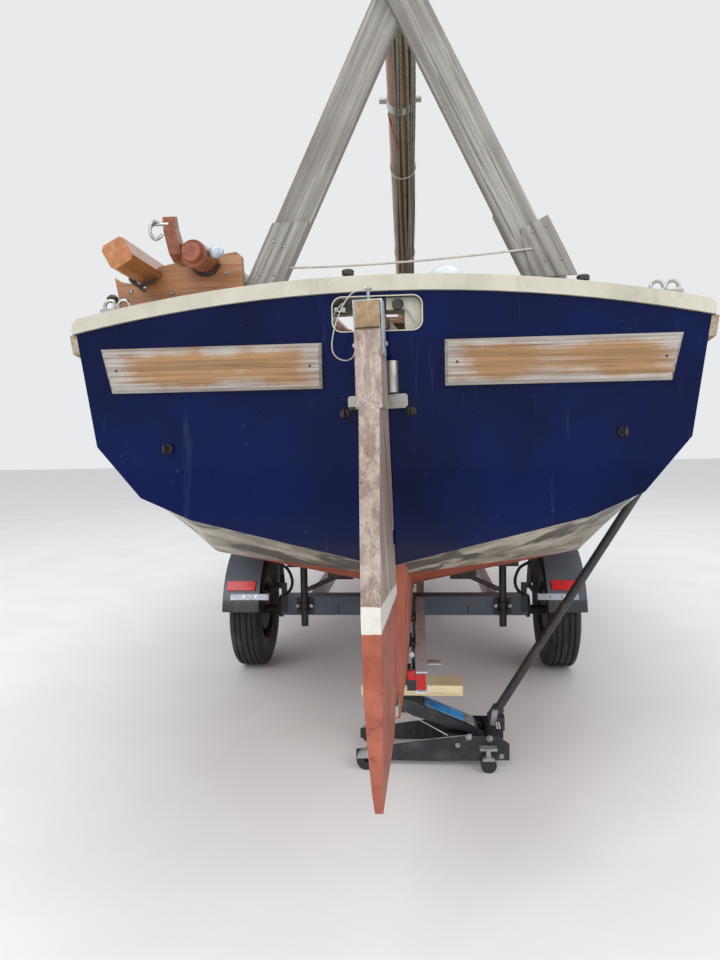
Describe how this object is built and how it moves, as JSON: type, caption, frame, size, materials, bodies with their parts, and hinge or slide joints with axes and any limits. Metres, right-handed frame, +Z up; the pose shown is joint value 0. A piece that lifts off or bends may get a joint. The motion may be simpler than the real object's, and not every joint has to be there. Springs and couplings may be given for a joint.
{
  "type": "gaff cutter on a road trailer",
  "caption": "Small wooden-sparred gaff cutter on a braked road trailer, mast lowered aft into a crutch, rudder hung, with a trolley jack under the tail.",
  "frame": {"origin": "on the ground, under the middle of the whole length and on the centre line of the boat", "axes": "+X to starboard, +Y forward to the trailer's coupling, +Z up"},
  "size_m": [2.2402, 7.8344, 3.0626],
  "materials": {
    "hull_paint": "navy gloss enamel over laminate, bare boot top, red-pink antifouling below",
    "antifouling": "faded red antifouling",
    "deck_cream": "cream deck, weathered",
    "cap_cream": "cream moulding",
    "strake_wood": "beige weathered timber",
    "well_cream": "cream moulded well",
    "varnished_wood": "varnished timber",
    "roof_cream": "cream cabin trunk",
    "glass": "clear",
    "brass": "dull brass",
    "lid_wood": "slatted timber",
    "board_wood": "weathered varnished timber, blank",
    "stainless": "stainless steel",
    "rudder_wood": "weathered timber, white band, red antifouling below",
    "tiller_wood": "pale timber, end grain bare",
    "mast_wood": "varnished spruce, weathered to grey-brown",
    "galvanised": "galvanised steel",
    "tabernacle_wood": "varnished hardwood with a steel foot and pin",
    "grey_wood": "bare weathered timber",
    "plywood": "varnished plywood",
    "spar_wood": "old varnish",
    "boom_wood": "red-brown varnish, leathered jaws",
    "tyre": "black rubber",
    "wheel_steel": "silver paint",
    "beam_grey": "dark blue-grey steel",
    "cast": "black",
    "black_rubber": "black rubber",
    "black_steel": "black paint",
    "guard_plastic": "black plastic",
    "reflector": "red and amber lens",
    "jack_paint": "dark grey paint, oily",
    "plank_pine": "sawn pine"
  },
  "bodies": {
    "boat_on_trailer": {"hull_shell": "hull_paint", "long_keel": "antifouling", "deck": "deck_cream", "deck_edge_cap": "cap_cream", "rubbing_strakes": "strake_wood", "cockpit_well": "well_cream", "coamings": "varnished_wood", "coachroof": "roof_cream", "portlight_glass": "glass", "portlight_frames": "brass", "name_boards": "board_wood", "transom_fittings": "stainless", "tabernacle": "tabernacle_wood", "crutch_leg_port": "grey_wood", "crutch_leg_starboard": "grey_wood", "crutch_feet": "grey_wood", "spar_crutches": "plywood", "bowsprit": "spar_wood", "boom": "boom_wood", "gaff": "boom_wood", "samson_post": "tabernacle_wood", "handrails": "varnished_wood", "fairleads": "stainless", "chainplates": "galvanised", "axle_beam": "beam_grey", "stub_axles": "cast", "trailer_frame": "galvanised", "keel_rails": "galvanised", "rollers": "black_rubber", "support_posts": "black_steel", "hull_pads": "black_rubber", "mudguards": "guard_plastic", "mudguard_stays": "black_steel", "reflectors": "reflector", "winch_post": "galvanised", "coupling_head": "cast", "jockey_clamp": "galvanised", "jack_frame": "jack_paint", "jack_arm": "jack_paint", "jack_castors": "cast", "jack_handle": "black_steel", "jack_plank": "plank_pine"},
    "wheel_port_body": {"wheel_port": "wheel_steel", "tyre_port": "tyre"},
    "wheel_starboard_body": {"wheel_starboard": "wheel_steel", "tyre_starboard": "tyre"},
    "jockey_leg": {"jockey_stem": "galvanised"},
    "jockey_roll": {"jockey_wheel": "black_rubber"},
    "rudder": {"rudder_blade": "rudder_wood", "rudder_irons": "stainless", "tiller": "tiller_wood"},
    "mast_spar": {"mast": "mast_wood", "mast_bands": "galvanised"},
    "hatch_slide": {"companion_hatch": "varnished_wood"},
    "port_door": {"door_port": "varnished_wood"},
    "starboard_door": {"door_starboard": "varnished_wood"},
    "fore_lid": {"forehatch": "varnished_wood"},
    "port_locker": {"locker_lid_port": "lid_wood"},
    "starboard_locker": {"locker_lid_starboard": "lid_wood"}
  },
  "joints": [
    {"name": "wheel_port_spin", "type": "hinge", "parent": "boat_on_trailer", "child": "wheel_port_body", "pos_m": [-0.8, -0.96482, 0.29], "axis": [1, 0, 0], "continuous": true},
    {"name": "wheel_starboard_spin", "type": "hinge", "parent": "boat_on_trailer", "child": "wheel_starboard_body", "pos_m": [0.8, -0.96482, 0.29], "axis": [1, 0, 0], "continuous": true},
    {"name": "jockey_swivel", "type": "hinge", "parent": "boat_on_trailer", "child": "jockey_leg", "pos_m": [-0.092, 3.41518, 0.3], "axis": [0, 0, 1], "continuous": true},
    {"name": "jockey_spin", "type": "hinge", "parent": "jockey_leg", "child": "jockey_roll", "pos_m": [-0.092, 3.47018, 0.1], "axis": [1, 0, 0], "continuous": true},
    {"name": "rudder_turn", "type": "hinge", "parent": "boat_on_trailer", "child": "rudder", "pos_m": [-0.00534, -2.78482, 0.93], "axis": [-0.0297, 0, 0.9996], "range_deg": [-27.5, 32.5]},
    {"name": "mast_fold", "type": "hinge", "parent": "boat_on_trailer", "child": "mast_spar", "pos_m": [0, 1.48518, 1.962], "axis": [-0.9999, -0.0128, 0], "range_deg": [0, 78.83]},
    {"name": "hatch_slide_forward", "type": "slide", "parent": "boat_on_trailer", "child": "hatch_slide", "axis": [0, 1, 0], "range_m": [0, 0.52]},
    {"name": "port_door_hinge", "type": "hinge", "parent": "boat_on_trailer", "child": "port_door", "pos_m": [-0.256, -0.35082, 1.5], "axis": [0, 0, -1], "range_deg": [0, 100]},
    {"name": "starboard_door_hinge", "type": "hinge", "parent": "boat_on_trailer", "child": "starboard_door", "pos_m": [0.256, -0.35082, 1.5], "axis": [0, 0, 1], "range_deg": [0, 100]},
    {"name": "forehatch_hinge", "type": "hinge", "parent": "boat_on_trailer", "child": "fore_lid", "pos_m": [0, 2.28918, 1.74692], "axis": [1, 0, 0], "range_deg": [-95, 0]},
    {"name": "port_locker_hinge", "type": "hinge", "parent": "boat_on_trailer", "child": "port_locker", "pos_m": [-0.577, -1.58482, 1.25], "axis": [0, -1, 0], "range_deg": [0, 80]},
    {"name": "starboard_locker_hinge", "type": "hinge", "parent": "boat_on_trailer", "child": "starboard_locker", "pos_m": [0.577, -1.58482, 1.25], "axis": [0, 1, 0], "range_deg": [0, 80]}
  ]
}
